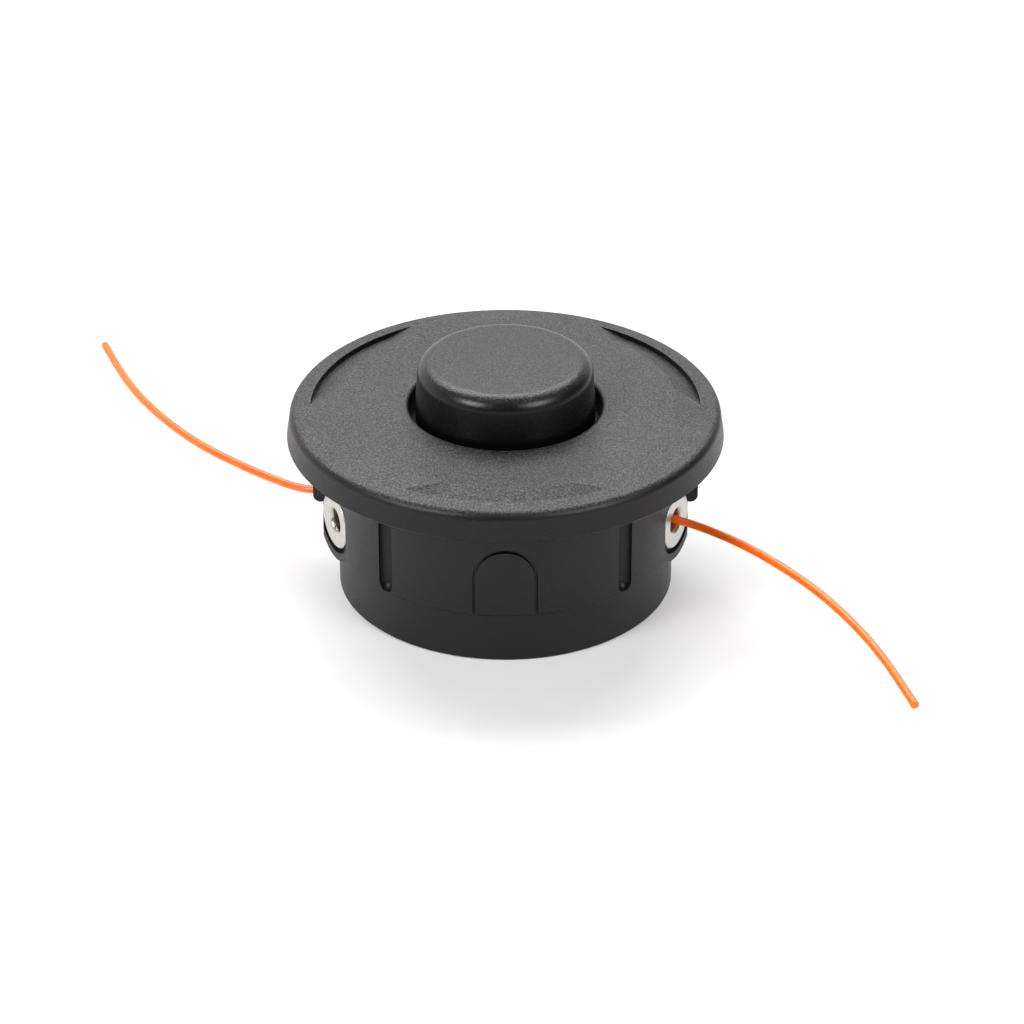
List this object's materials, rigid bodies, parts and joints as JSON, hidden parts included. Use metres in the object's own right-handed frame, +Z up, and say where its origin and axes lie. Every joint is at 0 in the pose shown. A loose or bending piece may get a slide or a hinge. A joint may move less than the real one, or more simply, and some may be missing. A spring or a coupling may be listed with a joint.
{
  "type": "trimmer head",
  "caption": "Tap-feed line head for a brush cutter: round black cup with a wide cap, a sprung tap knob, metal line eyelets and short ends of orange cutting line.",
  "frame": {"origin": "centre of the foot ring, on the surface that the head stands on", "axes": "+Z up along the spool axis to the tap knob, +X to the eyelet pair with the nearer line end"},
  "size_m": [0.2361, 0.2115, 0.0705],
  "materials": {
    "housing_nylon": "fine grain",
    "cap_nylon": "fine grain",
    "knob_nylon": "fine grain",
    "spool_nylon": "satin",
    "line": "extruded",
    "steel": "zinc plated",
    "spring_steel": "drawn wire",
    "eyelet_metal": "nickel plated"
  },
  "bodies": {
    "housing": {"housing": "housing_nylon", "cap": "cap_nylon", "drive_insert": "steel", "eyelet_right_front": "eyelet_metal", "eyelet_right_back": "eyelet_metal", "eyelet_left_front": "eyelet_metal", "eyelet_left_back": "eyelet_metal", "line_tail_right": "line", "line_tail_left": "line", "spring": "spring_steel"},
    "plunger": {"thrust_washer": "steel"},
    "reel": {"spool": "spool_nylon", "bump_knob": "knob_nylon", "line_coil_lower": "line", "line_coil_upper": "line"}
  },
  "joints": [
    {"name": "bump_press", "type": "slide", "parent": "housing", "child": "plunger", "axis": [0, 0, -1], "range_m": [0, 0.0065], "stiffness_N_per_m": 4000, "springref_m": -0.006, "deforming": ["spring"]},
    {"name": "spool_turn", "type": "hinge", "parent": "plunger", "child": "reel", "pos_m": [0, 0, 0.04], "axis": [0, 0, 1], "continuous": true}
  ]
}
